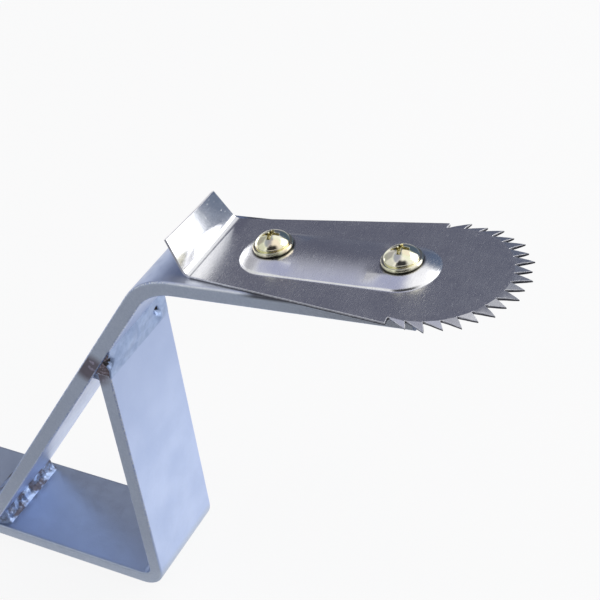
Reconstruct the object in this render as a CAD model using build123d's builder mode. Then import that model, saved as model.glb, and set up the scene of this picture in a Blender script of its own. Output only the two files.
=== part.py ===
"""Bench-mounted coconut grater: a toothed steel blade screwed to a welded flat-bar stand.

The origin is midway between the two bench-screw holes, on the underside of the base.
+X points forward along the base towards the teeth, +Z points up.
"""
import os
from math import asin, cos, degrees, radians, sin, tan

from build123d import *

# Flat bar of the stand
bar_width = 38.0
bar_thickness = 5.5
bar_edge_break = 0.9

# Base and leg: one bar, bent up square at the front
holes_to_leg_front = 160.0
holes_to_base_rear = 60.0
base_bend_radius = 4.5
bench_hole_spacing = 80.0
bench_hole_diameter = 6.5

# Arm and strut: a second bar, bent over the top of the leg
arm_height = 156.0
arm_ahead_of_leg = 36.7
arm_tilt = 5.8
arm_reach = 75.0
arm_corner_setback = 16.6
arm_bend_radius = 19.5
strut_slope = 54.5

# Blade: pressed from one sheet, with a bent-up tab behind and teeth in front
blade_thickness = 1.0
blade_neck_width = 31.1
blade_nose_width = 48.6
blade_flare_past_screw = 4.6
tab_height = 11.4
tab_angle = 69.0
tab_bend_radius = 3.0
tab_top_width = 28.4

# Teeth, counted from the middle of the nose outwards
tooth_count = 18
tooth_ring_past_screw = 11.4
tooth_ring_radius = 25.2
long_tooth_extra = 0.8
tooth_pitch = 9.86
tooth_pitch_growth = 0.0014
gullet_ring_radius = 20.3
gullet_ring_growth = 0.03
gullet_pitch = 11.1
gullet_pitch_growth = 0.001
gullet_round = 0.45

# Raised bead round the blade screws
bead_radius = 11.0
bead_crown_radius = 6.5
bead_rise = 2.5
front_screw_from_arm_end = 10.4
blade_screw_spacing = 42.1

# M6 blade hardware
screw_diameter = 6.0
screw_hole_clearance = 0.5
screw_length = 20.0
head_diameter = 10.6
head_rim_height = 0.9
head_height = 3.4
recess_span = 5.2
recess_slot = 1.3
recess_depth = 1.9
recess_taper = 9.0
recess_turn_angle = 12.0
washer_diameter = 12.3
washer_bore_clearance = 0.4
washer_thickness = 1.5
washer_split = 0.9
nut_flats = 10.0
nut_height = 5.0
nut_thread_clearance = 0.05
nut_corner_angle = 30.0

# Weld beads
weld_end_inset = 1.2
front_weld_inset = 2.8
front_weld_on_leg = 1.6
front_weld_on_strut = 3.5
front_weld_crown = 0.5
rear_weld_leg = 6.3
foot_front_weld_leg = 6.0
foot_rear_weld_leg = 4.5
foot_rear_weld_crown = 0.9
weld_hollow = 0.75

# Reference planes. arm_top lies on the arm, with its origin under the bend line of the blade.
arm_point = Vector(holes_to_leg_front + arm_ahead_of_leg, 0, arm_height)
arm_forward = Vector(cos(radians(arm_tilt)), 0, sin(radians(arm_tilt)))
arm_up = Vector(-sin(radians(arm_tilt)), 0, cos(radians(arm_tilt)))
arm_top = Plane(origin=arm_point, x_dir=arm_forward, z_dir=arm_up)
arm_side = Plane(origin=arm_point, x_dir=arm_forward, z_dir=(0, -1, 0))

# Strut and leg lines, in the XZ plane
strut_down = Vector(-cos(radians(strut_slope)), -sin(radians(strut_slope)))
outer_corner_3d = arm_side.from_local_coords((-arm_corner_setback, 0, 0))
outer_corner = Vector(outer_corner_3d.X, outer_corner_3d.Z)
corner_turn = strut_slope - arm_tilt
inner_corner_3d = arm_side.from_local_coords(
    (-arm_corner_setback + bar_thickness * tan(radians(corner_turn / 2)), -bar_thickness, 0)
)
inner_corner = Vector(inner_corner_3d.X, inner_corner_3d.Z)
outer_foot = outer_corner + strut_down * ((outer_corner.Y - bar_thickness) / sin(radians(strut_slope)))
inner_foot = inner_corner + strut_down * ((inner_corner.Y - bar_thickness) / sin(radians(strut_slope)))
arm_tip_top_3d = arm_side.from_local_coords((arm_reach, 0, 0))
arm_tip_low_3d = arm_side.from_local_coords((arm_reach, -bar_thickness, 0))
leg_front = holes_to_leg_front
leg_rear = leg_front - bar_thickness
leg_top = bar_thickness + (leg_rear - inner_foot.X) * tan(radians(strut_slope))
bar_side = bar_width / 2
front_screw_x = arm_reach - front_screw_from_arm_end
screw_positions = (front_screw_x - blade_screw_spacing, front_screw_x)
blade_flare_length = front_screw_x + blade_flare_past_screw
tooth_ring_center = front_screw_x + tooth_ring_past_screw
crown_top = blade_thickness + bead_rise
head_seat = crown_top + washer_thickness
screw_hole_diameter = screw_diameter + screw_hole_clearance
shank_radius = screw_diameter / 2

# Bead wall: two equal arcs from the flat up to the crown
wall_run = bead_radius - bead_crown_radius
wall_radius = (wall_run**2 + bead_rise**2) / (4 * bead_rise)
wall_turn = degrees(asin(wall_run / (2 * wall_radius)))


def side_plane(x, height):
    """Plane through a screw's axis, with its origin at a height above the arm."""
    return Plane(origin=arm_top.from_local_coords((x, 0, height)), x_dir=arm_forward, z_dir=(0, -1, 0))


def side_edges(bar):
    """Edges round the two long faces of a bar."""
    faces = bar.faces().sort_by(Axis.Y)
    return faces[0].edges() + faces[-1].edges()


def weld_outline(start, corner, end, crown):
    """Section of a weld between two faces that meet at corner; crown bulges away from it."""
    middle = (start + end) * 0.5
    outward = (middle - corner).normalized()
    Line(corner, start)
    ThreePointArc(start, middle + outward * crown, end)
    Line(end, corner)


def ring_point(radius, angle):
    """Point of the toothed end, from its ring centre."""
    return (tooth_ring_center + radius * cos(radians(angle)), radius * sin(radians(angle)))


def half_width(x):
    """Half width of the blade x ahead of its bend line."""
    return (blade_neck_width + (blade_nose_width - blade_neck_width) * x / blade_flare_length) / 2


def bead_outline():
    """Half of the pressed bead's section, at blade thickness."""
    foot_top = JernArc((bead_radius, blade_thickness), (-1, 0), wall_radius, -wall_turn)
    shoulder_top = JernArc(foot_top @ 1, foot_top % 1, wall_radius, wall_turn)
    Line(shoulder_top @ 1, (0, crown_top))
    Line((0, crown_top), (0, bead_rise))
    Line((0, bead_rise), (bead_crown_radius, bead_rise))
    shoulder_low = JernArc((bead_crown_radius, bead_rise), (1, 0), wall_radius, -wall_turn)
    foot_low = JernArc(shoulder_low @ 1, shoulder_low % 1, wall_radius, wall_turn)
    Line(foot_low @ 1, foot_top @ 0)


# Base and leg ---------------------------------------------------------------
with BuildPart() as base_bar:
    with BuildSketch(Plane.XZ) as base_profile:
        with BuildLine():
            Polyline(
                (-holes_to_base_rear, 0),
                (leg_front, 0),
                (leg_front, leg_top),
                (leg_rear, leg_top),
                (leg_rear, bar_thickness),
                (-holes_to_base_rear, bar_thickness),
                close=True,
            )
        make_face()
        outside = base_profile.vertices().sort_by_distance((leg_front, 0))[0]
        fillet(outside, base_bend_radius + bar_thickness)
        inside = base_profile.vertices().sort_by_distance((leg_rear, bar_thickness))[0]
        fillet(inside, base_bend_radius)
    extrude(amount=bar_side, both=True)
    fillet(side_edges(base_bar), bar_edge_break)
    with Locations(Plane.XY.offset(bar_thickness)):
        with Locations((-bench_hole_spacing / 2, 0), (bench_hole_spacing / 2, 0)):
            Hole(radius=bench_hole_diameter / 2)

# Arm and strut --------------------------------------------------------------
with BuildPart() as arm_bar:
    with BuildSketch(Plane.XZ) as arm_profile:
        with BuildLine():
            Polyline(
                (arm_tip_top_3d.X, arm_tip_top_3d.Z),
                outer_corner,
                outer_foot,
                inner_foot,
                inner_corner,
                (arm_tip_low_3d.X, arm_tip_low_3d.Z),
                close=True,
            )
        make_face()
        outside = arm_profile.vertices().sort_by_distance(outer_corner)[0]
        fillet(outside, arm_bend_radius + bar_thickness)
        inside = arm_profile.vertices().sort_by_distance(inner_corner)[0]
        fillet(inside, arm_bend_radius)
    extrude(amount=bar_side, both=True)
    fillet(side_edges(arm_bar), bar_edge_break)
    with BuildSketch(arm_top):
        with Locations(*[(x, 0) for x in screw_positions]):
            Circle(screw_hole_diameter / 2)
    extrude(amount=-bar_thickness, mode=Mode.SUBTRACT)

# Blade ----------------------------------------------------------------------
outline_points = []
for step in range(tooth_count + 1):
    side = tooth_count / 2 - step
    gullet_radius = gullet_ring_radius + gullet_ring_growth * side**2
    gullet_angle = gullet_pitch * side * (1 + gullet_pitch_growth * side**2)
    outline_points.append(ring_point(gullet_radius, gullet_angle))
    if step < tooth_count:
        side = side - 0.5
        tip_radius = tooth_ring_radius + long_tooth_extra * ((step + 1) % 2)
        tip_angle = tooth_pitch * side * (1 + tooth_pitch_growth * side**2)
        outline_points.append(ring_point(tip_radius, tip_angle))
tab_turn = radians(tab_angle)
bend_start = tab_bend_radius * tan(tab_turn / 2)
outline_points.append((blade_flare_length, -half_width(blade_flare_length)))
outline_points.append((bend_start, -half_width(bend_start)))
outline_points.append((bend_start, half_width(bend_start)))
outline_points.append((blade_flare_length, half_width(blade_flare_length)))

rear_screw, front_screw = [arm_top.from_local_coords((x, 0, 0)) for x in screw_positions]
bead_section = Plane(origin=rear_screw, x_dir=arm_top.y_dir, z_dir=arm_forward)
bead_front_section = Plane(origin=front_screw, x_dir=arm_top.y_dir, z_dir=arm_forward)


with BuildPart() as grater_blade:
    with BuildSketch(arm_top) as flat:
        with BuildLine():
            Polyline(*outline_points, close=True)
        make_face()
        ring_middle = Vector(tooth_ring_center, 0)
        inner_limit = (gullet_ring_radius + tooth_ring_radius) / 2
        gullets = [
            v
            for v in flat.vertices()
            if v.X > tooth_ring_center - gullet_ring_radius / 2
            and (Vector(v) - ring_middle).length < inner_limit
        ]
        fillet(gullets, gullet_round)
        middle_x = (screw_positions[0] + screw_positions[1]) / 2
        with Locations((middle_x, 0)):
            SlotCenterToCenter(blade_screw_spacing, 2 * bead_radius, mode=Mode.SUBTRACT)
    extrude(amount=blade_thickness)
    with BuildSketch(bead_section):
        with BuildLine():
            bead_outline()
        make_face()
        mirror(about=Plane.YZ)
    extrude(amount=blade_screw_spacing)
    with BuildSketch(bead_section):
        with BuildLine():
            bead_outline()
        make_face()
    revolve(axis=Axis(rear_screw, arm_up), revolution_arc=180)
    with BuildSketch(bead_front_section):
        with BuildLine():
            bead_outline()
        make_face()
    revolve(axis=Axis(front_screw, arm_up * -1), revolution_arc=180)
    with BuildSketch(arm_top.offset(crown_top)):
        with Locations(*[(x, 0) for x in screw_positions]):
            Circle(screw_hole_diameter / 2)
    extrude(amount=-2 * blade_thickness, mode=Mode.SUBTRACT)
    # bent-up tab, cut to its taper afterwards
    with BuildSketch(arm_side):
        with BuildLine():
            inner_bend = CenterArc(
                (bend_start, blade_thickness + tab_bend_radius), tab_bend_radius, -90, -tab_angle
            )
            outer_bend = CenterArc(
                (bend_start, blade_thickness + tab_bend_radius),
                tab_bend_radius + blade_thickness,
                -90,
                -tab_angle,
            )
            tab_end = Vector(-tab_height / tan(tab_turn), blade_thickness + tab_height)
            tab_normal = Vector(-sin(tab_turn), -cos(tab_turn)) * blade_thickness
            Line(inner_bend @ 0, outer_bend @ 0)
            Line(inner_bend @ 1, tab_end)
            Line(tab_end, tab_end + tab_normal)
            Line(tab_end + tab_normal, outer_bend @ 1)
        make_face()
    extrude(amount=half_width(bend_start), both=True)
    tab_slack = blade_neck_width
    with BuildSketch(Plane(origin=arm_point, x_dir=arm_top.y_dir, z_dir=arm_forward)):
        with BuildLine():
            side_cut = Polyline(
                (half_width(bend_start), 0),
                (half_width(bend_start), blade_thickness),
                (tab_top_width / 2, blade_thickness + tab_height),
                (tab_top_width / 2, blade_thickness + tab_height + tab_slack),
                (tab_slack, blade_thickness + tab_height + tab_slack),
                (tab_slack, 0),
                close=True,
            )
            mirror(side_cut, about=Plane.YZ)
        make_face()
    extrude(amount=-tab_slack, mode=Mode.SUBTRACT)

# Blade screws, spring washers and nuts ---------------------------------------
dome_rise = head_height - head_rim_height
dome_radius = ((head_diameter / 2) ** 2 + dome_rise**2) / (2 * dome_rise)
dome_turn = degrees(asin(head_diameter / 2 / dome_radius))
with BuildPart() as blade_screws:
    for x in screw_positions:
        axis_plane = side_plane(x, head_seat)
        with BuildSketch(axis_plane):
            with BuildLine():
                Polyline(
                    (0, head_height),
                    (0, -screw_length),
                    (shank_radius, -screw_length),
                    (shank_radius, 0),
                    (head_diameter / 2, 0),
                    (head_diameter / 2, head_rim_height),
                )
                CenterArc((0, head_height - dome_radius), dome_radius, 90 - dome_turn, dome_turn)
            make_face()
        revolve(axis=Axis(axis_plane.origin, arm_up))
        with BuildSketch(arm_top.offset(head_seat + head_height)):
            with Locations((x, 0)):
                Rectangle(recess_span, recess_slot, rotation=recess_turn_angle)
                Rectangle(recess_slot, recess_span, rotation=recess_turn_angle)
        extrude(amount=-recess_depth, taper=recess_taper, mode=Mode.SUBTRACT)

with BuildPart() as spring_washers:
    for x in screw_positions:
        with BuildSketch(arm_top.offset(crown_top)):
            with Locations((x, 0)):
                Circle(washer_diameter / 2)
                Circle((screw_diameter + washer_bore_clearance) / 2, mode=Mode.SUBTRACT)
        extrude(amount=washer_thickness)
        with BuildSketch(side_plane(x, crown_top)):
            with BuildLine():
                slant = washer_thickness
                Polyline(
                    (-slant / 2 - washer_split / 2, 0),
                    (-slant / 2 + washer_split / 2, 0),
                    (slant / 2 + washer_split / 2, washer_thickness),
                    (slant / 2 - washer_split / 2, washer_thickness),
                    close=True,
                )
            make_face()
        extrude(amount=-washer_diameter, mode=Mode.SUBTRACT)

nut_corner_radius = nut_flats / 2 / cos(radians(30))
nut_drop = (nut_corner_radius - nut_flats / 2) * tan(radians(nut_corner_angle))
with BuildPart() as hex_nuts:
    for x in screw_positions:
        with BuildSketch(arm_top.offset(-bar_thickness)):
            with Locations((x, 0)):
                RegularPolygon(nut_flats / 2, 6, major_radius=False)
        extrude(amount=-nut_height)
        nut_plane = side_plane(x, -bar_thickness)
        with BuildSketch(nut_plane):
            with BuildLine():
                Polyline(
                    (nut_flats / 2, 0),
                    (nut_flats, 0),
                    (nut_flats, -nut_height),
                    (nut_flats / 2, -nut_height),
                    (nut_corner_radius, -nut_height + nut_drop),
                    (nut_corner_radius, -nut_drop),
                    close=True,
                )
            make_face()
        revolve(axis=Axis(nut_plane.origin, arm_up), mode=Mode.SUBTRACT)
        with BuildSketch(arm_top.offset(-bar_thickness)):
            with Locations((x, 0)):
                Circle(shank_radius + nut_thread_clearance)
        extrude(amount=-nut_height, mode=Mode.SUBTRACT)

# Welds ------------------------------------------------------------------------
groove_corner = Vector(leg_rear, leg_top)
groove_reach = bar_thickness / cos(radians(strut_slope)) + front_weld_on_strut
with BuildPart() as leg_weld_front:
    with BuildSketch(Plane.XZ):
        with BuildLine():
            leg_toe = Vector(leg_front, leg_top - front_weld_on_leg)
            strut_toe = groove_corner - strut_down * groove_reach
            weld_middle = (leg_toe + strut_toe) * 0.5
            weld_out = Vector(strut_toe.Y - leg_toe.Y, leg_toe.X - strut_toe.X).normalized()
            Line(groove_corner, (leg_front, leg_top))
            Line((leg_front, leg_top), leg_toe)
            ThreePointArc(leg_toe, weld_middle + weld_out * front_weld_crown, strut_toe)
            Line(strut_toe, groove_corner)
        make_face()
    extrude(amount=bar_side - front_weld_inset, both=True)

rear_half_angle = radians((90 - strut_slope) / 2)
rear_hollow = weld_hollow * rear_weld_leg * tan(rear_half_angle) * (1 - sin(rear_half_angle))
with BuildPart() as leg_weld_rear:
    with BuildSketch(Plane.XZ):
        with BuildLine():
            weld_outline(
                groove_corner - Vector(0, rear_weld_leg),
                groove_corner,
                groove_corner + strut_down * rear_weld_leg,
                -rear_hollow,
            )
        make_face()
    extrude(amount=bar_side - weld_end_inset, both=True)

foot_half_angle = radians(strut_slope / 2)
foot_hollow = weld_hollow * foot_front_weld_leg * tan(foot_half_angle) * (1 - sin(foot_half_angle))
with BuildPart() as foot_weld_front:
    with BuildSketch(Plane.XZ):
        with BuildLine():
            weld_outline(
                inner_foot + Vector(foot_front_weld_leg, 0),
                inner_foot,
                inner_foot - strut_down * foot_front_weld_leg,
                -foot_hollow,
            )
        make_face()
    extrude(amount=bar_side - weld_end_inset, both=True)

with BuildPart() as foot_weld_rear:
    with BuildSketch(Plane.XZ):
        with BuildLine():
            weld_outline(
                outer_foot - Vector(foot_rear_weld_leg, 0),
                outer_foot,
                outer_foot - strut_down * foot_rear_weld_leg,
                foot_rear_weld_crown,
            )
        make_face()
    extrude(amount=bar_side - weld_end_inset, both=True)

# Files ------------------------------------------------------------------------
base_bar.part.label = "base_bar"
arm_bar.part.label = "arm_bar"
grater_blade.part.label = "grater_blade"
blade_screws.part.label = "blade_screws"
spring_washers.part.label = "spring_washers"
hex_nuts.part.label = "hex_nuts"
leg_weld_front.part.label = "leg_weld_front"
leg_weld_rear.part.label = "leg_weld_rear"
foot_weld_front.part.label = "foot_weld_front"
foot_weld_rear.part.label = "foot_weld_rear"

os.makedirs("parts", exist_ok=True)
for piece in (
    base_bar,
    arm_bar,
    grater_blade,
    blade_screws,
    spring_washers,
    hex_nuts,
    leg_weld_front,
    leg_weld_rear,
    foot_weld_front,
    foot_weld_rear,
):
    export_step(piece.part, f"parts/{piece.part.label}.step")
print("leg top", round(leg_top, 2), "inner foot", inner_foot, "outer foot", outer_foot)
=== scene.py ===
import bpy
import bmesh
import math
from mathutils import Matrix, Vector, noise


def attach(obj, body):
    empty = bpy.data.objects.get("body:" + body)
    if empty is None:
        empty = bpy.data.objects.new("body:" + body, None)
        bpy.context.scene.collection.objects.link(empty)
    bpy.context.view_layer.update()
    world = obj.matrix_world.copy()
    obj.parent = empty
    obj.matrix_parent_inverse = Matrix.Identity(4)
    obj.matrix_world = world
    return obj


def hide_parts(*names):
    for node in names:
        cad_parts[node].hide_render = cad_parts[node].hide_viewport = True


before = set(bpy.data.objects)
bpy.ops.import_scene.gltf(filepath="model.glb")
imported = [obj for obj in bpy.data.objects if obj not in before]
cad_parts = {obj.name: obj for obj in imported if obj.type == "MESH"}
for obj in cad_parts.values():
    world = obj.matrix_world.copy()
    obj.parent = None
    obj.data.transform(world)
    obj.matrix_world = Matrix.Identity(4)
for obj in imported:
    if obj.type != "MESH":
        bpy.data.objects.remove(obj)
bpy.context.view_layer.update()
mm = 0.001
degreesInRadian = 57.29578

# the arm's own axes: along it towards the teeth, to the left, and up from its top face
armSetting = {"ahead": 0.1967, "height": 0.156, "tilt": 5.8}
armSpot = {"along": 211.46, "above": 135.31}  # the arm's origin in the finishes' leant millimetres
tilt = math.radians(armSetting["tilt"])
armForward = Vector((math.cos(tilt), 0, math.sin(tilt)))
armLeft = Vector((0, 1, 0))
armUp = Vector((-math.sin(tilt), 0, math.cos(tilt)))
armOrigin = Vector((armSetting["ahead"], 0, armSetting["height"]))
screwAt = (22.5, 64.6)


def onArm(along, left, above):
    return armOrigin + (armForward * along + armLeft * left + armUp * above) * mm


def smoothStep(low, high, value):
    t = min(1.0, max(0.0, (value - low) / (high - low)))
    return t * t * (3 - 2 * t)


# shader maths
class Wire:  # one socket that can be used in sums
    def __init__(self, paint, socket):
        self.paint = paint
        self.socket = socket

    def math(self, operation, first, second):
        return self.paint.add("ShaderNodeMath", {"operation": operation}, {0: first, 1: second})

    def __add__(self, other):
        return self.math("ADD", self, other)

    def __radd__(self, other):
        return self.math("ADD", other, self)

    def __sub__(self, other):
        return self.math("SUBTRACT", self, other)

    def __rsub__(self, other):
        return self.math("SUBTRACT", other, self)

    def __mul__(self, other):
        return self.math("MULTIPLY", self, other)

    def __rmul__(self, other):
        return self.math("MULTIPLY", other, self)

    def __truediv__(self, other):
        return self.math("DIVIDE", self, other)

    def __rtruediv__(self, other):
        return self.math("DIVIDE", other, self)

    def __pow__(self, other):
        return self.math("POWER", self, other)

    def __abs__(self):
        return self.math("ABSOLUTE", self, 0.0)

    def step(self, low, high):  # soft step from 0 to 1
        return self.paint.add(
            "ShaderNodeMapRange",
            {"interpolation_type": "SMOOTHSTEP"},
            {"Value": self, "From Min": low, "From Max": high, "To Min": 0.0, "To Max": 1.0},
        )

    def between(self, low, high, highEnd, lowEnd):  # rises from low to high, falls from highEnd to lowEnd
        return self.step(low, high) * (1 - self.step(highEnd, lowEnd))


class Paint:  # one node tree being wired up
    def __init__(self, tree):
        self.tree = tree
        self.tree.nodes.clear()

    def add(self, kind, settings=None, inputs=None, output=0):
        node = self.tree.nodes.new(kind)
        for name, value in (settings or {}).items():
            setattr(node, name, value)
        for name, value in (inputs or {}).items():
            if isinstance(value, Wire):
                self.tree.links.new(value.socket, node.inputs[name])
            else:
                node.inputs[name].default_value = value
        return Wire(self, node.outputs[output]) if node.outputs else None

    def mix(self, factor, first, second):
        inputs = {0: factor, 6: first, 7: second}
        return self.add("ShaderNodeMix", {"data_type": "RGBA"}, inputs, output=2)

    def grain(self, place, scale, detail=3.0, rough=0.55, stretch=(1, 1, 1), turn=(0, 0, 0)):
        moved = self.add(
            "ShaderNodeMapping",
            {},
            {"Vector": place, "Scale": stretch, "Rotation": [math.radians(a) for a in turn]},
        )
        return self.add(
            "ShaderNodeTexNoise",
            {"noise_dimensions": "3D"},
            {"Vector": moved, "Scale": scale, "Detail": detail, "Roughness": rough},
        )


def newPaint(name):
    material = bpy.data.materials.new(name)
    material.use_nodes = True
    return material, Paint(material.node_tree)


def millimetres(paint, lean):  # object space in millimetres, leant back so x runs along the piece
    place = paint.add("ShaderNodeTexCoord", output="Object")
    return paint.add(
        "ShaderNodeMapping",
        {"vector_type": "POINT"},
        {"Vector": place, "Rotation": (0, math.radians(lean), 0), "Scale": (1000, 1000, 1000)},
    )


def axes(paint, place):  # x, y and z of a place
    split = paint.add("ShaderNodeSeparateXYZ", {}, {0: place})
    return [Wire(paint, socket) for socket in split.socket.node.outputs]


def azimuth(paint, x, y):  # degrees round the object
    flat = paint.add("ShaderNodeMath", {"operation": "ARCTAN2"}, {0: 0 - y, 1: 0 - x})
    return (flat + math.pi) * degreesInRadian


def finishSteel(paint, colour, roughness, bumps, metallic=1.0):
    # bumps: list of (height wire, strength, distance in metres)
    normal = None
    for height, strength, distance in bumps:
        inputs = {"Height": height, "Strength": strength, "Distance": distance}
        if normal is not None:
            inputs["Normal"] = normal
        normal = paint.add("ShaderNodeBump", {}, inputs)
    inputs = {"Base Color": colour, "Roughness": roughness, "Metallic": metallic}
    if normal is not None:
        inputs["Normal"] = normal
    shader = paint.add("ShaderNodeBsdfPrincipled", {}, inputs)
    paint.add("ShaderNodeOutputMaterial", {}, {"Surface": shader})


# finishes
bladeLook = {
    "dark": (0.88, 0.88, 0.91, 1),
    "light": (0.96, 0.96, 0.97, 1),
    "streak": (0.70, 0.70, 0.74, 1),
    # painted shade round the foot of each washer
    "paintedShade": (0.16, 0.15, 0.14, 1),
    "roughness": 0.16,
    "scratchTone": (0.98, 0.98, 0.985, 1),
    "shadeEdge": (6.2, 7.0),  # from each screw's middle
    "flatFrom": (3.0, 7.0),  # along the arm, past the tab
}


def bladeFinish():
    material, p = newPaint("bladeSteel")
    place = millimetres(p, armSetting["tilt"])
    along, left = axes(p, place)[:2]
    along = along - armSpot["along"]
    flat = along.step(*bladeLook["flatFrom"])
    cloud = p.grain(place, 0.11, 3.0, 0.6)
    patch = p.grain(place, 0.5, 2.0, 0.5)
    brush = p.grain(place, 1.0, 4.0, 0.7, stretch=(3.2, 0.35, 1.0), turn=(0, 0, -14))
    marks = p.grain(place, 1.0, 2.0, 0.4, stretch=(5.5, 0.7, 1.0), turn=(0, 0, 22)).step(0.66, 0.74)
    nicks = p.grain(place, 1.6, 1.0, 0.5).step(0.73, 0.79)
    tone = p.mix(cloud.step(0.3, 0.7), bladeLook["dark"], bladeLook["light"])
    tone = p.mix(patch.step(0.35, 0.75) * 0.35, tone, bladeLook["light"])
    tone = p.mix(brush.step(0.45, 0.75) * flat * 0.45, tone, bladeLook["streak"])
    tone = p.mix(marks * 0.5, tone, bladeLook["scratchTone"])
    tone = p.mix(nicks * 0.4, tone, bladeLook["scratchTone"])
    # painted shade on the blade round the foot of each washer
    paintedShade = 0
    for screw in screwAt:
        away = ((along - screw) ** 2 + left ** 2) ** 0.5
        paintedShade = paintedShade + (1 - away.step(*bladeLook["shadeEdge"]))
    tone = p.mix(paintedShade * 0.8, tone, bladeLook["paintedShade"])
    rough = bladeLook["roughness"] + (1 - flat) * 0.02 + flat * (0.04 + brush.step(0.3, 0.7) * 0.08)
    rough = rough + marks * 0.1 + (cloud - 0.5) * 0.06
    finishSteel(p, tone, rough, [(brush, 0.14, 0.00002), (marks, 0.2, 0.00002), (cloud, 0.1, 0.0003)])
    return material


edgeLook = {"tone": (0.66, 0.66, 0.70, 1), "bright": (0.86, 0.86, 0.90, 1), "tornAndShade": (0.10, 0.10, 0.12, 1)}


# sheared rim: cut clean above, torn below; the dark lower half is partly the torn fracture zone and partly
# painted shade
def cutEdgeFinish(name, tone, bright, tornAndShade, rough, tear):
    material, p = newPaint(name)
    place = millimetres(p, armSetting["tilt"])
    above = axes(p, place)[2] - armSpot["above"]
    streak = p.grain(place, 1.2, 3.0, 0.6, stretch=(1.0, 1.0, 0.3))
    tone = p.mix(streak.step(0.35, 0.7), tone, bright)
    # darker lower half: partly the torn fracture zone, partly painted shade
    tone = p.mix((1 - (above + streak * 0.3).step(0.45, 0.75)) * tornAndShade, tone, edgeLook["tornAndShade"])
    finishSteel(p, tone, rough + streak * 0.15, [(streak, tear, 0.00004)])
    return material


barLook = {
    "face": (0.47, 0.57, 0.83, 1),
    "pale": (0.56, 0.66, 0.92, 1),
    # painted shade for the faces higher up
    "upperShade": (0.38, 0.46, 0.68, 1),
    "lower": (0.46, 0.53, 0.66, 1),
    # paler wear, and painted highlight, on the bars' edges and the arm's top
    "wearAndSheen": (0.86, 0.89, 0.95, 1),
    # painted shade beside the blade's far edge
    "paintedShade": (0.12, 0.12, 0.10, 1),
    "sheared": (0.50, 0.57, 0.70, 1),
    "shearedPale": (0.62, 0.68, 0.80, 1),
    "shade": (0.06, 0.06, 0.075, 1),
    # painted shade on the arm's near side under the blade's front
    "overhangShade": (0.36, 0.37, 0.39, 1),
    "heat": (0.15, 0.12, 0.15, 1),
    "heatPale": (0.50, 0.46, 0.60, 1),
    "heatAt": (152.6, 109.5),  # the weld, ahead and high
    "heatSize": (8.5, 7.5),
    "roughness": 0.30,
}


def barFinish():  # blue-white zinc on the faces, duller sheared sides
    material, p = newPaint("zincBar")
    place = millimetres(p, 0)
    facing = p.add("ShaderNodeTexCoord", output="Normal")
    across = abs(axes(p, facing)[1])
    side = across.step(0.80, 0.97)
    cloud = p.grain(place, 0.07, 4.0, 0.6)
    blotch = p.grain(place, 0.28, 3.0, 0.55)
    rolled = p.grain(place, 1.0, 3.0, 0.6, stretch=(0.25, 2.6, 0.25))
    tear = p.grain(place, 1.0, 3.0, 0.65, stretch=(1.4, 1.4, 1.4))
    specks = p.grain(place, 0.9, 1.0, 0.5).step(0.70, 0.78)
    ahead, left, high = axes(p, place)
    heatAhead = (ahead - barLook["heatAt"][0]) / barLook["heatSize"][0]
    heatHigh = (high - barLook["heatAt"][1]) / barLook["heatSize"][1]
    nearWeld = (heatAhead ** 2 + heatHigh ** 2) ** 0.5  # burnt round the weld
    heat = (1 - nearWeld.step(0.5, 1.15)) * side
    faceTone = p.mix(cloud.step(0.3, 0.75), barLook["face"], barLook["pale"])
    # painted shade: the faces darker towards the top, where the leg runs up under the arm
    faceTone = p.mix(high.step(45, 120) * 0.75, faceTone, barLook["upperShade"])
    faceTone = p.mix(high.step(6, 12), barLook["lower"], faceTone)
    faceTone = p.mix(specks * 0.3, faceTone, barLook["sheared"])
    sideTone = p.mix(tear.step(0.3, 0.75) * 0.6, barLook["sheared"], barLook["shearedPale"])
    # painted shade: the arm's near side darker towards the front, under the blade's overhang
    sideTone = p.mix(ahead.step(205, 275) * high.step(140, 145) * 0.7, sideTone, barLook["overhangShade"])
    tone = p.mix(side, faceTone, sideTone)
    # rounded edges paler: partly wear, partly painted highlight
    edge = across.between(0.25, 0.5, 0.80, 0.95)
    tone = p.mix(edge * tear.step(0.42, 0.60) * high.step(20, 40) * 0.8, tone, barLook["wearAndSheen"])
    # painted shade on the arm's top beside the blade's far edge
    farShadeStrip = left.step(14.5, 16.0) * high.step(150, 153)
    tone = p.mix(farShadeStrip * ahead.step(196, 202) * 0.8, tone, barLook["paintedShade"])  # beside the blade's far edge
    level = (high - armSetting["height"] / mm) - (ahead - armSetting["ahead"] / mm) * math.tan(tilt)
    nearer = 0 - left
    under = nearer.step(17.4, 18.4) * level.step(-1.9, -0.7)
    under = under * ahead.step(215, 222) * (1 - ahead.step(230, 275) * 0.5)
    tone = p.mix(under * 0.9, tone, barLook["shade"])  # below the blade's near edge
    # painted highlight: a pale strip on the arm's top along its near edge, by the blade's rear end
    paintedSheen = nearer.step(13.5, 16.5) * level.step(-1.0, -0.3)
    paintedSheen = paintedSheen * ahead.between(186, 200, 212, 222)
    tone = p.mix(paintedSheen * 0.8, tone, barLook["wearAndSheen"])
    tone = p.mix(heat * 0.9, tone, p.mix(blotch.step(0.55, 0.75), barLook["heat"], barLook["heatPale"]))
    rough = barLook["roughness"] + blotch.step(0.3, 0.75) * 0.10 + side * 0.16 + specks * 0.1
    bumps = [(rolled, 0.10, 0.00005), (blotch, 0.14, 0.0006), (tear, 0.12, 0.00006)]
    finishSteel(p, tone, rough, bumps, 0.86 - side * 0.36)
    return material


plateLook = {
    "straw": (0.93, 0.89, 0.74, 1),
    "green": (0.84, 0.87, 0.60, 1),
    "rose": (0.95, 0.74, 0.60, 1),
    "grimeAndShade": (0.42, 0.37, 0.16, 1),
    # painted shade for the washers' lower edge
    "footShade": (0.07, 0.065, 0.04, 1),
    "roughness": 0.09,
}


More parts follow.
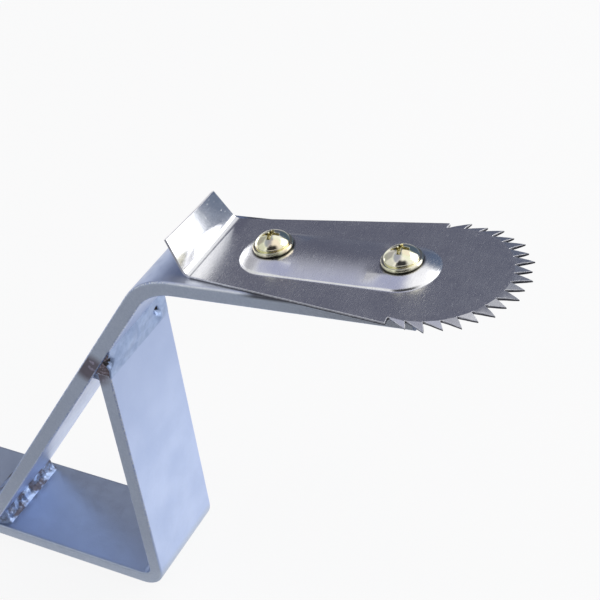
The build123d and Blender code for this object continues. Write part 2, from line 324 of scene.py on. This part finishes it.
# thin yellow passivation that shifts between straw, green and rose
def yellowZincFinish(name, grimeAndShade, footShade=0.0):
    material, p = newPaint(name)
    place = millimetres(p, armSetting["tilt"])
    above = axes(p, place)[2] - armSpot["above"]
    drift = p.grain(place, 0.16, 2.0, 0.5)
    fine = p.grain(place, 1.3, 3.0, 0.6)
    tone = p.mix(drift.step(0.40, 0.62), plateLook["green"], plateLook["straw"])
    tone = p.mix((1 - drift.step(0.36, 0.50)) * 0.6, tone, plateLook["rose"])
    # darker in patches: light grime on the washers, painted shade in the screw heads' recesses
    tone = p.mix(fine.step(0.2, 0.6) * grimeAndShade, tone, plateLook["grimeAndShade"])
    # painted shade round the washers' lower edge, where they sit on the blade
    tone = p.mix((1 - above.step(3.7, 4.7)) * footShade, tone, plateLook["footShade"])
    rough = plateLook["roughness"] + fine.step(0.4, 0.8) * 0.12
    finishSteel(p, tone, rough, [(fine, 0.2, 0.00003)])
    return material


nutLook = {"tone": (0.56, 0.57, 0.60, 1), "pale": (0.70, 0.71, 0.73, 1), "roughness": 0.28}


def plainZincFinish():
    material, p = newPaint("plainZinc")
    place = millimetres(p, armSetting["tilt"])
    patch = p.grain(place, 0.5, 3.0, 0.6)
    fine = p.grain(place, 2.5, 2.0, 0.6)
    tone = p.mix(patch.step(0.35, 0.7), nutLook["tone"], nutLook["pale"])
    finishSteel(p, tone, nutLook["roughness"] + patch * 0.12, [(fine, 0.3, 0.00005)])
    return material


weldLook = {
    "metal": (0.29, 0.38, 0.59, 1),
    "burnt": (0.10, 0.09, 0.11, 1),
    "pale": (0.41, 0.52, 0.76, 1),
    "roughness": 0.32,
}


def weldFinish(name, burnt, pale):
    material, p = newPaint(name)
    place = millimetres(p, 0)
    soot = p.grain(place, 0.22, 3.0, 0.6)
    skin = p.grain(place, 0.3, 3.0, 0.55)
    fine = p.grain(place, 1.4, 3.0, 0.6)
    tone = p.mix(skin.step(0.35, 0.7) * pale, weldLook["metal"], weldLook["pale"])
    tone = p.mix(soot.step(0.42, 0.62) * burnt, tone, weldLook["burnt"])
    rough = weldLook["roughness"] + soot.step(0.4, 0.65) * 0.15
    finishSteel(p, tone, rough, [(skin, 0.25, 0.0006), (fine, 0.2, 0.00008)], 0.8)
    return material


# painted shade for the holes in the weld
pitLook = {
    "holeShade": (0.010, 0.009, 0.010, 1),
    "rim": (0.07, 0.06, 0.07, 1),
    "scale": (0.13, 0.105, 0.12, 1),
    "ash": (0.36, 0.32, 0.40, 1),
}


def pitFinish(name, deep, crusty):  # burnt holes and ends of the weld
    material, p = newPaint(name)
    place = millimetres(p, 0)
    crust = p.grain(place, 0.9, 3.0, 0.6)
    tone = p.mix(crust.step(0.45, 0.7), deep, crusty)
    finishSteel(p, tone, 0.55 + crust * 0.2, [(crust, 0.4, 0.0002)], 0.3)
    return material


steelBlade = bladeFinish()
cutEdge = cutEdgeFinish("cutEdge", edgeLook["tone"], edgeLook["bright"], 0.95, 0.25, 0.15)
burr = cutEdgeFinish("burr", edgeLook["bright"], bladeLook["scratchTone"], 0.85, 0.45, 0.05)
zincBar = barFinish()
yellowZinc = yellowZincFinish("yellowZinc", 0.0)
# painted shade in the recesses of the screw heads
recessShadeZinc = yellowZincFinish("recessShadeZinc", 0.9)
washerZinc = yellowZincFinish("washerZinc", 0.15, 0.9)
plainZinc = plainZincFinish()
weldFront = weldFinish("weldSkin", 0.0, 0.7)
weldDark = weldFinish("weldSoot", 0.95, 0.2)
# painted shade in the weld's holes
weldPit = pitFinish("weldPit", pitLook["holeShade"], pitLook["rim"])
weldCap = pitFinish("weldCap", pitLook["scale"], pitLook["ash"])
print("finishes made")


# mesh helpers
def newPiece(name, build, materials):
    mesh = bpy.data.meshes.new(name)
    build.to_mesh(mesh)
    build.free()
    piece = bpy.data.objects.new(name, mesh)
    bpy.context.scene.collection.objects.link(piece)
    for material in materials:
        mesh.materials.append(material)
    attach(piece, "root")
    return piece


def settle(piece, angle):  # keep the modifiers' result and smooth it below an angle
    graph = bpy.context.evaluated_depsgraph_get()
    done = bpy.data.meshes.new_from_object(piece.evaluated_get(graph))
    piece.modifiers.clear()
    old = piece.data
    piece.data = done
    bpy.data.meshes.remove(old)
    for face in done.polygons:
        face.use_smooth = True
    done.set_sharp_from_angle(angle=math.radians(angle))


def ringFaces(build, rows, close=True):
    count = len(rows[0])
    for low, high in zip(rows, rows[1:]):
        for i in range(count if close else count - 1):
            j = (i + 1) % count
            corners = [low[i], low[j], high[j], high[i]]
            unique = []
            for corner in corners:
                if corner not in unique:
                    unique.append(corner)
            if len(unique) > 2:
                build.faces.new(unique)


# blade
bladeSize = {
    "thick": 1.0,
    "neck": 15.55,
    "nose": 24.3,
    "flareEnd": 69.2,
    "tabHeight": (11.0, 11.75),  # far and near corner
    "tabTop": (13.75, 14.45),
    "tabAngle": 69.0,
    "tabRadius": 3.0,
    "tabCup": 0.7,
    "teeth": 18,
    "ringCentre": 76.0,
    "tipCentre": 76.35,
    "tipRing": 25.15,
    "longExtra": 0.8,
    "tipStep": 9.9,
    "tipGrowth": 0.0013,
    "gulletRing": 20.3,
    "gulletGrowth": 0.03,
    "gulletStep": 11.1,
    "gulletSpread": 0.001,
    "gulletRound": 0.42,
    "beadRadius": 11.0,
    "beadRise": 2.5,
    "beadFlat": 6.2,
    "footStep": 0.32,
    "footRound": 0.06,
    "longDroop": 0.6,
    "shortDroop": 0.65,
    "tipThick": 0.5,
    "edgeRound": 0.09,
    "flankBow": (1.0, 0.35),  # long and short teeth
    "firstFlank": ((0.35, 0.16), (0.7, 0.14)),  # share of the way, and bow to one side
    "lastFlank": ((0.3, 0.12), (0.65, 0.15)),
    "pressedCurve": 1.45,
    "archedCurve": 1.6,
    "archedFrom": (3.5, 10.0),  # past each screw, towards the bead's middle
    "footEdge": (10.5, 11.05),
    "footSink": 0.004,
    "cupWay": (0.93, 0.36),  # along the arm and up, square to the tab
}


def ringPoint(centre, radius, angle):
    turn = math.radians(angle)
    return Vector((bladeSize[centre] + radius * math.cos(turn), radius * math.sin(turn), 0))


def bladeHalf(along):
    s = bladeSize
    return s["neck"] + (s["nose"] - s["neck"]) * along / s["flareEnd"]


def beadHeight(along, left):
    s = bladeSize
    rear, front = screwAt
    outside = max(rear - along, along - front, 0.0)
    radius = math.hypot(outside, left)
    inside = max(0.0, min(along - rear, front - along))
    middle = smoothStep(*s["archedFrom"], inside)
    edge = s["beadRadius"]
    t = max(0.0, (radius - s["beadFlat"]) / (edge - s["beadFlat"]))
    pressed = s["beadRise"] * (1 - t ** s["pressedCurve"])  # flat where the washer bears
    arched = s["beadRise"] * (1 - (radius / edge) ** s["archedCurve"])
    height = pressed * (1 - middle) + arched * middle
    foot = s["footStep"]
    height = height * (1 - foot / s["beadRise"]) + foot * (1 - smoothStep(*s["footEdge"], radius))
    soft = s["footRound"]
    return max(0.0, (height + math.sqrt(height ** 2 + soft ** 2)) / 2 - s["footSink"])


def bowed(first, last, points, bow, towards):  # points between two ends, pushed to one side
    along = last - first
    sideways = Vector((-along.y, along.x, 0)).normalized()
    if sideways.dot(towards) < 0:
        sideways = -sideways
    return [first.lerp(last, t) + sideways * bulge * bow for t, bulge in points]


def makeBlade():
    s = bladeSize
    build = bmesh.new()
    weights = build.verts.layers.deform.verify()
    tipSpots = []
    gulletSpots = []
    for step in range(s["teeth"] + 1):
        side = s["teeth"] / 2 - step
        radius = s["gulletRing"] + s["gulletGrowth"] * side ** 2
        angle = s["gulletStep"] * side * (1 + s["gulletSpread"] * side ** 2)
        gulletSpots.append(ringPoint("ringCentre", radius, angle))
        if step < s["teeth"]:
            side -= 0.5
            radius = s["tipRing"] + s["longExtra"] * ((step + 1) % 2)
            angle = s["tipStep"] * side * (1 + s["tipGrowth"] * side ** 2)
            tipSpots.append(ringPoint("tipCentre", radius, angle))
    farCorner = Vector((s["flareEnd"], bladeHalf(s["flareEnd"]), 0))
    nearCorner = Vector((s["flareEnd"], -bladeHalf(s["flareEnd"]), 0))

    # gullets: three points each, from the flank before to the flank after
    leave = []
    arrive = []
    border = []  # runs from the far side round the nose to the near side
    for i, spot in enumerate(gulletSpots):
        before = tipSpots[i - 1] if i > 0 else farCorner
        after = tipSpots[i] if i < s["teeth"] else nearCorner
        a = spot + (before - spot).normalized() * s["gulletRound"]
        b = spot + (after - spot).normalized() * s["gulletRound"]
        m = spot * 0.45 + (a + b) * 0.275
        va, vm, vb = [build.verts.new(v) for v in (a, m, b)]
        arrive.append(va)
        leave.append(vb)
        border += [va, vm, vb]
    for i, tip in enumerate(tipSpots):
        start, end = leave[i].co.copy(), arrive[i + 1].co.copy()
        droop = s["longDroop"] if i % 2 == 0 else s["shortDroop"]
        chord = end - start
        out = Vector((-chord.y, chord.x, 0)).normalized()
        if out.dot(tip - start) < 0:
            out = -out
        reach = out.dot(tip - start)
        bow = s["flankBow"][i % 2]
        flank = bowed(start, tip, s["firstFlank"], bow, start - end)
        flank.append(tip)
        flank += bowed(tip, end, s["lastFlank"], bow, start - end)
        corners = [leave[i]]
        for spot in flank:
            rise = max(0.0, out.dot(spot - start)) / reach
            corner = build.verts.new((spot.x, spot.y, -droop * rise ** 1.2))
            corner[weights][0] = 1 - (1 - s["tipThick"]) * rise ** 3
            corners.append(corner)
        corners.append(arrive[i + 1])
        build.faces.new(list(reversed(corners)))

    # rear edge of the flat, shared with the tab
    turn = math.radians(s["tabAngle"])
    bendStart = s["tabRadius"] * math.tan(turn / 2)
    columns = 16
    rearHalf = bladeHalf(bendStart)
    rearEdge = [
        build.verts.new((bendStart, rearHalf * (1 - 2 * i / columns), 0)) for i in range(columns + 1)
    ]
    sideSteps = 10

    def sideEdge(sign):
        made = []
        for i in range(1, sideSteps + 1):
            along = bendStart + (s["flareEnd"] - bendStart) * i / sideSteps
            made.append(build.verts.new((along, sign * bladeHalf(along), 0)))
        return made

    farEdge = sideEdge(1)
    nearEdge = sideEdge(-1)
    loop = list(reversed(rearEdge)) + farEdge + border + list(reversed(nearEdge))
    rimEdges = []
    for a, b in zip(loop, loop[1:] + loop[:1]):
        found = build.edges.get((a, b))
        rimEdges.append(found if found else build.edges.new((a, b)))

    # bead: rings from its foot to its middle line
    straight, cap = 24, 40
    rear, front = screwAt
    directions = []
    for i in range(straight):
        directions.append((rear + (front - rear) * i / straight, -90))
    for i in range(cap):
        directions.append((front, -90 + 180 * i / cap))
    for i in range(straight):
        directions.append((front - (front - rear) * i / straight, 90))
    for i in range(cap):
        directions.append((rear, 90 + 180 * i / cap))
    rings = []
    radii = [11.7, 11.5, 11.35, 11.22, 11.12, 11.04, 10.97, 10.9, 10.82, 10.72, 10.6, 10.4, 10.1]
    radii += [9.7, 9.3, 8.9, 8.5, 8.1, 7.7, 7.3, 6.9, 6.5, 6.2, 5.8, 5.2, 4.5, 3.7, 2.8, 1.9, 0.9, 0.0]
    for radius in radii:
        ring = []
        for along, angle in directions:
            a = math.radians(angle)
            u = along + radius * math.cos(a)
            v = radius * math.sin(a)
            ring.append(build.verts.new((u, v, beadHeight(u, v) if radius < radii[0] else 0.0)))
        rings.append(ring)
    ringFaces(build, rings)
    footEdges = [build.edges.get((a, b)) for a, b in zip(rings[0], rings[0][1:] + rings[0][:1])]
    bmesh.ops.triangle_fill(build, edges=rimEdges + footEdges, use_beauty=True)

    # tab
    rows = [rearEdge]
    centre = Vector((bendStart, 0, s["tabRadius"]))
    steps = 16
    for i in range(1, steps + 1):
        a = turn * i / steps
        u = centre.x - s["tabRadius"] * math.sin(a)
        w = centre.z - s["tabRadius"] * math.cos(a)
        rows.append((u, w))
    lastU, lastW = rows[-1]
    full = max(s["tabHeight"])
    for i in range(1, 9):
        w = lastW + (full - lastW) * i / 8
        rows.append((lastU + (lastW - w) / math.tan(turn), w))
    grid = [rearEdge]
    for u, w in rows[1:]:
        row = []
        for i in range(columns + 1):
            side = 1 - 2 * i / columns
            near = (1 - side) / 2
            height = s["tabHeight"][0] * (1 - near) + s["tabHeight"][1] * near
            share = min(1.0, w / full)
            top = s["tabTop"][0] * (1 - near) + s["tabTop"][1] * near
            half = rearHalf + (top - rearHalf) * share
            lift = w * height / full
            cup = s["tabCup"] * (1 - side ** 2) * smoothStep(0.0, 0.5, share)
            back = (w - lift) / math.tan(turn)
            behind, rise = [cup * way for way in s["cupWay"]]
            row.append(build.verts.new((u + back + behind, half * side, lift + rise)))
        grid.append(row)
    ringFaces(build, grid, close=False)

    bmesh.ops.remove_doubles(build, verts=build.verts, dist=0.001)
    build.normal_update()
    for face in build.faces:
        if face.normal.z + 0.5 * face.normal.x < 0:
            face.normal_flip()
    for vertex in build.verts:
        if 0 not in vertex[weights]:
            vertex[weights][0] = 1.0
        vertex.co = onArm(vertex.co.x, vertex.co.y, vertex.co.z + s["thick"])
    blade = newPiece("graterBlade", build, [steelBlade, cutEdge, burr])
    blade.vertex_groups.new(name="thickness")
    shell = blade.modifiers.new("sheet", "SOLIDIFY")
    shell.vertex_group = "thickness"
    shell.thickness = s["thick"] * mm
    shell.offset = -1
    shell.material_offset_rim = 1
    soft = blade.modifiers.new("edges", "BEVEL")
    soft.width = s["edgeRound"] * mm
    soft.segments = 2
    soft.limit_method = "ANGLE"
    soft.angle_limit = math.radians(50)
    soft.use_clamp_overlap = False
    soft.material = 2
    settle(blade, 6)
    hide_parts("grater_blade")


makeBlade()
print("blade made")

# screws
screwSize = {
    "seat": 5.0,  # above the arm's top face
    "head": 5.3,
    "rim": 0.9,
    "height": 3.4,
    "shank": 3.0,
    "tip": 1.9,
    "length": 20.0,
    "smooth": 9.0,  # of the length, above the threads
    "pitch": 1.0,
    "threadDepth": 0.55,
    "tipTaper": 0.5,
    "recess": 3.1,  # radius inside which the head's top is cut
    "span": 2.6,  # half the cross, tip to middle
    "spanSoft": (0.22, 0.1),
    "slot": 0.62,
    "slotTaper": 0.06,
    "slotSoft": 0.14,
    "depth": 1.9,
    "floorRise": 0.36,
    "core": (0.75, 1.25),
    "coreRise": 0.15,
    "turns": (12, 12),  # of each recess, in degrees
}


def aroundScrew(place, radius, angle, above):
    return onArm(place + radius * math.cos(angle), radius * math.sin(angle), above)


def recessDepth(x, y):
    s = screwSize
    best = 0.0
    for a, b in ((x, y), (y, x)):
        reach = abs(a)
        width = s["slot"] - s["slotTaper"] * reach
        wall = 1 - smoothStep(width - s["slotSoft"], width + s["slotSoft"], abs(b))
        end = 1 - smoothStep(s["span"] - s["spanSoft"][0], s["span"] + s["spanSoft"][1], reach)
        best = max(best, wall * end * (s["depth"] - s["floorRise"] * reach))
    core = 1 - smoothStep(*s["core"], math.hypot(x, y))
    return max(best, core * (s["depth"] - s["coreRise"]))


def makeScrews():
    s = screwSize
    build = bmesh.new()
    around = 120
    rise = s["height"] - s["rim"]
    bow = (s["head"] ** 2 + rise ** 2) / (2 * rise)
    for place, turned in zip(screwAt, s["turns"]):
        profile = []  # (radius, height, is recessed)
        count = 30
        for i in range(count + 1):
            r = s["recess"] * i / count
            profile.append((r, s["height"] - bow + math.sqrt(bow ** 2 - r ** 2), True))
        for r in (3.5, 3.9, 4.3, 4.65, 4.9):
            profile.append((r, s["height"] - bow + math.sqrt(bow ** 2 - r ** 2), False))
        profile += [(5.1, 1.0, False), (5.22, 0.88, False), (5.29, 0.72, False), (5.3, 0.5, False)]
        profile += [(5.3, 0.16, False), (5.24, 0.05, False), (5.1, 0.0, False), (3.3, 0.0, False)]
        profile += [(3.05, -0.15, False), (3.0, -0.5, False), (3.0, -s["smooth"], False)]
        rows = []
        for r, h, cut in profile:
            row = []
            for k in range(around):
                a = 2 * math.pi * k / around
                x, y = r * math.cos(a), r * math.sin(a)
                drop = recessDepth(x, y) if cut else 0.0
                b = a + math.radians(turned)
                row.append(build.verts.new(aroundScrew(place, r, b, s["seat"] + h - drop)))
            rows.append(row)
        ringFaces(build, rows)
        rows = []
        sides = 40
        steps = int((s["length"] - s["smooth"] - 0.2) * 10)
        for i in range(steps + 1):
            h = -s["smooth"] - i * 0.1
            row = []
            for k in range(sides):
                a = 2 * math.pi * k / sides
                phase = (h / s["pitch"] + k / sides) % 1.0
                ridge = abs(phase - 0.5) * 2
                r = s["shank"] - s["threadDepth"] * smoothStep(0.1, 0.9, ridge)
                r -= s["tipTaper"] * smoothStep(s["length"] - 1.0, s["length"], -h)
                row.append(build.verts.new(aroundScrew(place, r, a, s["seat"] + h)))
            rows.append(row)
        tipRow = []
        for k in range(sides):
            a = 2 * math.pi * k / sides
            tipRow.append(build.verts.new(aroundScrew(place, s["tip"], a, s["seat"] - s["length"])))
        rows.append(tipRow)
        ringFaces(build, rows)
        build.faces.new(tipRow)
    bmesh.ops.remove_doubles(build, verts=build.verts, dist=0.000002)
    bmesh.ops.recalc_face_normals(build, faces=build.faces)
    for face in build.faces:
        for place in screwAt:
            seat = face.calc_center_median() - onArm(place, 0, s["seat"])
            x, y, z = [axis.dot(seat) / mm for axis in (armForward, armLeft, armUp)]
            if math.hypot(x, y) < 3.0 and z > 0.5:
                dome = s["height"] - bow + math.sqrt(bow ** 2 - x ** 2 - y ** 2)
                face.material_index = 1 if dome - z > 0.25 else 0
    screws = newPiece("bladeScrews", build, [yellowZinc, recessShadeZinc])
    settle(screws, 55)
    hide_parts("blade_screws")


makeScrews()

washerSize = {
    "inner": 3.2,
    "outer": 6.15,
    "thick": 1.5,
    "seat": 3.5,
    "round": 0.3,
    "gap": 5.0,  # half the split, in degrees
    "slant": 14.0,
}


def makeWashers():
    s = washerSize
    build = bmesh.new()
    section = []
    half, r = s["thick"] / 2, s["round"]
    for cx, cz, start in (
        (s["outer"] - r, half - r, 0),
        (s["inner"] + r, half - r, 90),
        (s["inner"] + r, r - half, 180),
        (s["outer"] - r, r - half, 270),
    ):
        for i in range(5):
            a = math.radians(start + 90 * i / 4)
            section.append((cx + r * math.cos(a), cz + r * math.sin(a)))
    for place in screwAt:
        rows = []
        steps = 110
        for i in range(steps + 1):
            row = []
            for radius, height in section:
                lean = s["slant"] * height / s["thick"]
                first, last = 90 + s["gap"] + lean, 450 - s["gap"] + lean
                a = math.radians(first + (last - first) * i / steps)
                row.append(build.verts.new(aroundScrew(place, radius, a, s["seat"] + half + height)))
            rows.append(row)
        ringFaces(build, rows)
        build.faces.new(list(reversed(rows[0])))
        build.faces.new(rows[-1])
    bmesh.ops.recalc_face_normals(build, faces=build.faces)
    washers = newPiece("springWashers", build, [washerZinc])
    settle(washers, 50)
    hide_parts("spring_washers")


makeWashers()
print("hardware made")

# welds
legTop = Vector((0.1545, 0, 0.10884))  # where the leg's rear edge meets the strut
slope = math.radians(54.5)
strutDown = Vector((-math.cos(slope), 0, -math.sin(slope)))
strutFootFront = Vector((0.0807867, 0, 0.0055))
strutFootRear = Vector((0.0740309, 0, 0.0055))
legWeldFoot = Vector((0.1601, 0, 0.10724))
# how far each weld reaches from its corner
weldReach = {"legFront": 0.01297, "legRear": 0.0063, "footFront": 0.006, "footRear": 0.0045}
weldCommon = {"fade": 2.0, "endSize": 0.25, "ripple": 3.2, "slant": 0.0, "spots": []}


def makeWeld(name, node, corner, start, end, crown, ends, materials, settings):
    # a bead that fills the corner from start to end, with ripples along it
    build = bmesh.new()
    rows = []
    steps, around = 110, 16
    nearEnd, farEnd = ends
    middle = (start + end) * 0.5
    outward = (end - start).cross(Vector((0, 1, 0))).normalized()
    if outward.dot(middle - corner) < 0:
        outward = -outward
    pits = []
    for i in range(steps + 1):
        y = nearEnd + (farEnd - nearEnd) * i / steps
        fade = smoothStep(0, settings["fade"] * mm, min(y - nearEnd, farEnd - y)) ** 0.5
        row = []
        for k in range(around + 1):
            t = k / around
            spot = start.lerp(end, t)
            bow = 4 * t * (1 - t)
            ripple = math.sin(2 * math.pi * (y / (settings["ripple"] * mm) + 0.35 * bow))
            lump = noise.noise(Vector((t * 1.6, y * 160, settings["seed"])))
            full = crown + settings["rippleHeight"] * mm * ripple + settings["lump"] * mm * lump
            spot = spot + outward * bow * full
            for at, place, size, push in settings["spots"]:
                d = ((y / mm - at) / size) ** 2 + ((t - place) / (size * 0.09)) ** 2
                spot = spot + outward * push * mm * math.exp(-d) * min(1.0, 3 * bow)
                if push < -1.2 and d < 1.1:
                    pits.append((i, k))
            spot = corner.lerp(spot, settings["endSize"] + (1 - settings["endSize"]) * fade)
            slant = settings["slant"] * mm * t * max(0.0, y / farEnd) ** 3  # the far end leans in
            row.append(build.verts.new((spot.x, y - slant, spot.z)))
        row.append(build.verts.new((corner.x, y, corner.z)))
        rows.append(row)
    ringFaces(build, rows)
    dark = {rows[i][k] for i, k in pits}
    for face in build.faces:
        if all(vertex in dark for vertex in face.verts):
            face.material_index = 1
    for row in (list(reversed(rows[0])), rows[-1]):
        build.faces.new(row).material_index = len(materials) - 1
    bmesh.ops.recalc_face_normals(build, faces=build.faces)
    weld = newPiece(name, build, materials)
    settle(weld, 60)
    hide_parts(node)


makeWeld(
    "legWeldFront",
    "leg_weld_front",
    legTop,
    legWeldFoot,
    legTop - strutDown * weldReach["legFront"],
    0.15 * mm,
    (-18.9 * mm, 18.7 * mm),
    [weldFront, weldPit, weldCap],
    {
        **weldCommon,
        "fade": 0.5,
        "endSize": 0.93,
        "rippleHeight": 0.0,
        "lump": 0.35,
        "slant": 2.4,
        "seed": 2.3,
        "spots": [  # place along the weld, share of the way up, size, height or depth
            (12.2, 0.24, 1.8, 1.3),
            (11.4, 0.56, 1.3, -1.7),
            (-18.4, 0.56, 1.7, -2.8),
            (-5.0, 0.6, 3.5, 0.5),
        ],
    },
)
makeWeld(
    "legWeldRear",
    "leg_weld_rear",
    legTop,
    legTop + Vector((0, 0, -weldReach["legRear"])),
    legTop + strutDown * weldReach["legRear"],
    -0.55 * mm,
    (-18.4 * mm, 18.4 * mm),
    [weldDark, weldCap],
    {**weldCommon, "fade": 1.2, "ripple": 3.0, "rippleHeight": 0.08, "lump": 0.7, "seed": 5.1},
)
makeWeld(
    "footWeldFront",
    "foot_weld_front",
    strutFootFront,
    strutFootFront + Vector((weldReach["footFront"], 0, 0)),
    strutFootFront - strutDown * weldReach["footFront"],
    -0.5 * mm,
    (-17.8 * mm, 17.8 * mm),
    [weldDark, weldDark],
    {**weldCommon, "rippleHeight": 0.12, "lump": 0.8, "seed": 7.7},
)
makeWeld(
    "footWeldRear",
    "foot_weld_rear",
    strutFootRear,
    strutFootRear - Vector((weldReach["footRear"], 0, 0)),
    strutFootRear - strutDown * weldReach["footRear"],
    0.7 * mm,
    (-17.8 * mm, 17.8 * mm),
    [weldDark, weldDark],
    {**weldCommon, "rippleHeight": 0.14, "lump": 0.8, "seed": 9.2},
)
print("welds made")

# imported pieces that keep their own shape
for nodeName, material in (("base_bar", zincBar), ("arm_bar", zincBar), ("hex_nuts", plainZinc)):
    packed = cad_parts[nodeName]
    packed.data.materials.clear()
    packed.data.materials.append(material)
print("bars dressed")

# studio: the tones that the metal finds round it, then the soft edges of the panels that carry them
# turn is azimuth and lift is height above the horizon, both in degrees; the floor's lengths are metres
studio = {
    "floor": 1.1,
    "haze": (0.37, 0.39, 0.53, 1),
    "far": (0.105, 0.110, 0.150, 1),
    "farBlue": (0.080, 0.115, 0.190, 1),
    "near": (0.035, 0.036, 0.042, 1),
    "left": (0.40, 0.40, 0.43, 1),
    "behind": (0.70, 0.71, 0.70, 1),
    "floorNear": (0.27, 0.28, 0.31, 1),
    "floorAhead": (0.05, 0.055, 0.07, 1),
    "floorBlue": (0.05, 0.075, 0.15, 1),
    "floorFar": (0.25, 0.25, 0.28, 1),
    "hazeTurn": (112, 134, 215, 295),
    "hazeLift": (42, 54, 74, 90),
    "leftTurn": (141, 155, 182, 194),
    "leftTop": (40, 50),
    "behindTurn": (182, 194, 228, 244),
    "behindTop": (38, 50),
    "nearTurn": (245, 252, 308, 343),
    "nearLift": (2, 14, 62, 76),
    "farStart": (26, 42),
    "farEnd": (127, 143),
    "farTop": (37, 50),
    "farFoot": (-40, 4),
    "middle": 0.2,  # of the object, ahead of the origin
    "floorFront": (-0.05, 0.0),
    "floorFarReach": (0.4, 0.75),
    "floorFarTurn": (26, 40, 120, 140),
    "aheadStart": (-0.03, 0.08),
    "aheadReach": (0.20, 0.27, 0.50, 0.62),
    "aheadSide": (-0.06, 0.06),
}


def makeFloor():
    build = bmesh.new()
    bmesh.ops.create_grid(build, x_segments=1, y_segments=1, size=studio["floor"])
    mesh = bpy.data.meshes.new("studioFloor")
    build.to_mesh(mesh)
    build.free()
    floor = bpy.data.objects.new("studioFloor", mesh)
    bpy.context.scene.collection.objects.link(floor)
    material, p = newPaint("paleFloor")
    path = p.add("ShaderNodeLightPath", output="Is Camera Ray")
    gloss = Wire(p, path.socket.node.outputs["Is Glossy Ray"])
    through = Wire(p, path.socket.node.outputs["Is Transmission Ray"])
    place = p.add("ShaderNodeTexCoord", output="Object")
    x, y = axes(p, place)[:2]
    x = x - studio["middle"]
    front = y.step(*studio["floorFront"])
    reach = (x ** 2 + y ** 2) ** 0.5
    turn = azimuth(p, x, y)
    far = reach.step(*studio["floorFarReach"]) * turn.between(*studio["floorFarTurn"])
    ahead = x.step(*studio["aheadStart"]) * reach.between(*studio["aheadReach"])
    ahead = ahead * (1 - (y - x * 0.9).step(*studio["aheadSide"]))
    matte = p.add("ShaderNodeBsdfDiffuse", {}, {"Color": (0.9, 0.9, 0.9, 1)})
    # glossy rays see painted shade on the floor: darker in front of the object, with darker patches ahead
    # and far round it
    shine = p.mix(front, studio["floorNear"], (1, 1, 1, 1))
    shine = p.mix(ahead, shine, studio["floorAhead"])
    shine = p.mix(far, shine, p.mix(turn.step(75, 105), studio["floorBlue"], studio["floorFar"]))
    shown = p.mix(path, shine, (1, 1, 1, 1))
    glow = p.add("ShaderNodeEmission", {}, {"Color": shown, "Strength": 1.0})
    share = path * 0.88 + gloss * 0.97 + through * 0.97
    both = p.add("ShaderNodeMixShader", {}, {0: share, 1: matte, 2: glow})
    p.add("ShaderNodeOutputMaterial", {}, {"Surface": both})
    mesh.materials.append(material)


def makeWorld():  # white to the eye; metal also finds the darker sides of the room
    world = bpy.data.worlds.new("studio")
    bpy.context.scene.world = world
    world.use_nodes = True
    p = Paint(world.node_tree)
    path = p.add("ShaderNodeLightPath", output="Is Camera Ray")
    way = p.add("ShaderNodeTexCoord", output="Generated")
    x, y, z = axes(p, way)
    turn = azimuth(p, x, y)
    lift = p.add("ShaderNodeMath", {"operation": "ARCSINE"}, {0: z}) * degreesInRadian
    haze = turn.between(*studio["hazeTurn"]) * lift.between(*studio["hazeLift"])
    reach = lift - turn.step(98, 122) * 5
    left = turn.between(*studio["leftTurn"]) * (1 - lift.step(*studio["leftTop"]))
    behind = turn.between(*studio["behindTurn"]) * (1 - lift.step(*studio["behindTop"]))
    far = (turn - lift * 0.9).step(*studio["farStart"]) * (1 - (turn - lift * 0.3).step(*studio["farEnd"]))
    far = far * (1 - reach.step(*studio["farTop"])) * lift.step(*studio["farFoot"])
    near = turn.between(*studio["nearTurn"]) * lift.between(*studio["nearLift"])
    room = p.mix(haze, (1, 1, 1, 1), studio["haze"])
    room = p.mix(left, room, studio["left"])
    room = p.mix(behind, room, studio["behind"])
    room = p.mix(far, room, p.mix(turn.step(92, 122), studio["farBlue"], studio["far"]))
    room = p.mix(near, room, studio["near"])
    seen = p.mix(path, room, (1, 1, 1, 1))
    back = p.add("ShaderNodeBackground", {}, {"Color": seen, "Strength": 1.0})
    p.add("ShaderNodeOutputWorld", {}, {"Surface": back})


def makeLamp(name, place, size, power, aim):
    data = bpy.data.lights.new(name, "AREA")
    data.shape = "RECTANGLE"
    data.size, data.size_y = size
    data.energy = power
    lamp = bpy.data.objects.new(name, data)
    lamp.location = place
    lamp.rotation_euler = (Vector(aim) - Vector(place)).to_track_quat("-Z", "Y").to_euler()
    bpy.context.scene.collection.objects.link(lamp)


makeFloor()
makeWorld()
makeLamp("rightSoftbox", (1.09, 0.61, 0.90), (1.0, 1.0), 3.8, (0.22, 0, 0.15))
makeLamp("lowSoftbox", (1.229, 0.594, 0.34), (0.5, 0.5), 1.6, (0.2, 0, 0.16))
print("studio made")

# camera, matched to the photograph
view = {
    "place": (0.39202, -0.27467, 0.39340),
    "turn": (51.7074, 6.0852, 26.2774),
    "lens": 80.336,
    "shift": (-0.00676, 0.00409),
}
cameraData = bpy.data.cameras.new("camera")
cameraData.lens = view["lens"]
cameraData.sensor_width = 36
cameraData.shift_x, cameraData.shift_y = view["shift"]
cameraData.clip_start = 0.01
camera = bpy.data.objects.new("camera", cameraData)
camera.location = view["place"]
camera.rotation_euler = [math.radians(a) for a in view["turn"]]
bpy.context.scene.collection.objects.link(camera)
bpy.context.scene.camera = camera
bpy.context.scene.view_settings.view_transform = "Standard"
